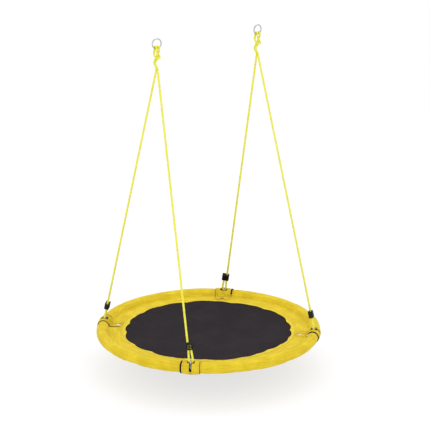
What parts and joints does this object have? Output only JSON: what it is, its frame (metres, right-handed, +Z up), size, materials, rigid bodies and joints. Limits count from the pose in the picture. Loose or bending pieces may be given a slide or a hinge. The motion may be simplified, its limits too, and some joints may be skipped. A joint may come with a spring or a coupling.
{
  "type": "nest swing",
  "caption": "Round nest swing: padded steel rim with a stretched mat, hung by adjustable ropes from steel rings that swing under a beam.",
  "frame": {"origin": "midway between the two hook seats, the highest points inside the two hanging rings", "axes": "+Z up, +X along the beam from the left ring to the right ring, -Y towards the front"},
  "size_m": [1.0998, 1.0998, 1.5213],
  "materials": {
    "ring_steel": "bright zinc plated steel",
    "frame_steel": "galvanised steel tube",
    "fastener_steel": "zinc plated bolts and nuts",
    "rope": "braided polyethylene rope, lemon yellow",
    "adjuster_plastic": "moulded black nylon",
    "foam": "closed-cell foam tube",
    "cover_fabric": "woven polyester cover, golden yellow",
    "black_binding": "folded black binding tape",
    "hook_tape": "hook-and-loop tape",
    "mat_fabric": "woven charcoal mat",
    "hem_fabric": "sewn hem, pale yellow"
  },
  "bodies": {
    "hanging_rings": {"hanging_ring_left": "ring_steel", "hanging_ring_right": "ring_steel"},
    "swing": {"rope_hitch_left": "rope", "rope_hitch_right": "rope", "rope_front_left": "rope", "rope_back_left": "rope", "rope_back_right": "rope", "rope_front_right": "rope", "rope_bend_front_left": "rope", "rope_bend_back_left": "rope", "rope_bend_back_right": "rope", "rope_bend_front_right": "rope", "rope_tail_front_left": "rope", "rope_tail_back_left": "rope", "rope_tail_back_right": "rope", "rope_tail_front_right": "rope", "tube_coupling_front_left": "frame_steel", "tube_coupling_back_left": "frame_steel", "tube_coupling_back_right": "frame_steel", "tube_coupling_front_right": "frame_steel", "coupling_bolts": "fastener_steel", "coupling_nuts": "fastener_steel", "frame_tube_left": "frame_steel", "frame_tube_back": "frame_steel", "frame_tube_right": "frame_steel", "frame_tube_front": "frame_steel", "foam_sleeve_left": "foam", "foam_sleeve_back": "foam", "foam_sleeve_right": "foam", "foam_sleeve_front": "foam", "rim_cover_left": "cover_fabric", "rim_cover_back": "cover_fabric", "rim_cover_right": "cover_fabric", "rim_cover_front": "cover_fabric", "joint_wrap_front_left": "cover_fabric", "joint_wrap_back_left": "cover_fabric", "joint_wrap_back_right": "cover_fabric", "joint_wrap_front_right": "cover_fabric", "wrap_binding_front_left": "black_binding", "wrap_binding_back_left": "black_binding", "wrap_binding_back_right": "black_binding", "wrap_binding_front_right": "black_binding", "wrap_closure_front_left": "hook_tape", "wrap_closure_back_left": "hook_tape", "wrap_closure_back_right": "hook_tape", "wrap_closure_front_right": "hook_tape", "seat_mat": "mat_fabric", "mat_hem": "hem_fabric"},
    "adjuster_body_front_left": {"adjuster_front_left": "adjuster_plastic", "rope_end_front_left": "rope"},
    "adjuster_body_back_left": {"adjuster_back_left": "adjuster_plastic", "rope_end_back_left": "rope"},
    "adjuster_body_back_right": {"adjuster_back_right": "adjuster_plastic", "rope_end_back_right": "rope"},
    "adjuster_body_front_right": {"adjuster_front_right": "adjuster_plastic", "rope_end_front_right": "rope"}
  },
  "joints": [
    {"name": "swing_hinge", "type": "hinge", "parent": "hanging_rings", "child": "swing", "pos_m": [0, 0, -0.043], "axis": [1, 0, 0], "range_deg": [-45, 45]},
    {"name": "adjuster_slide_front_left", "type": "slide", "parent": "swing", "child": "adjuster_body_front_left", "axis": [0.0598, 0.2635, 0.9628], "range_m": [0, 0.25], "deforming": ["rope_tail_front_left"]},
    {"name": "adjuster_slide_back_left", "type": "slide", "parent": "swing", "child": "adjuster_body_back_left", "axis": [0.0598, -0.2635, 0.9628], "range_m": [0, 0.25], "deforming": ["rope_tail_back_left"]},
    {"name": "adjuster_slide_back_right", "type": "slide", "parent": "swing", "child": "adjuster_body_back_right", "axis": [-0.0598, -0.2635, 0.9628], "range_m": [0, 0.25], "deforming": ["rope_tail_back_right"]},
    {"name": "adjuster_slide_front_right", "type": "slide", "parent": "swing", "child": "adjuster_body_front_right", "axis": [-0.0598, 0.2635, 0.9628], "range_m": [0, 0.25], "deforming": ["rope_tail_front_right"]}
  ]
}
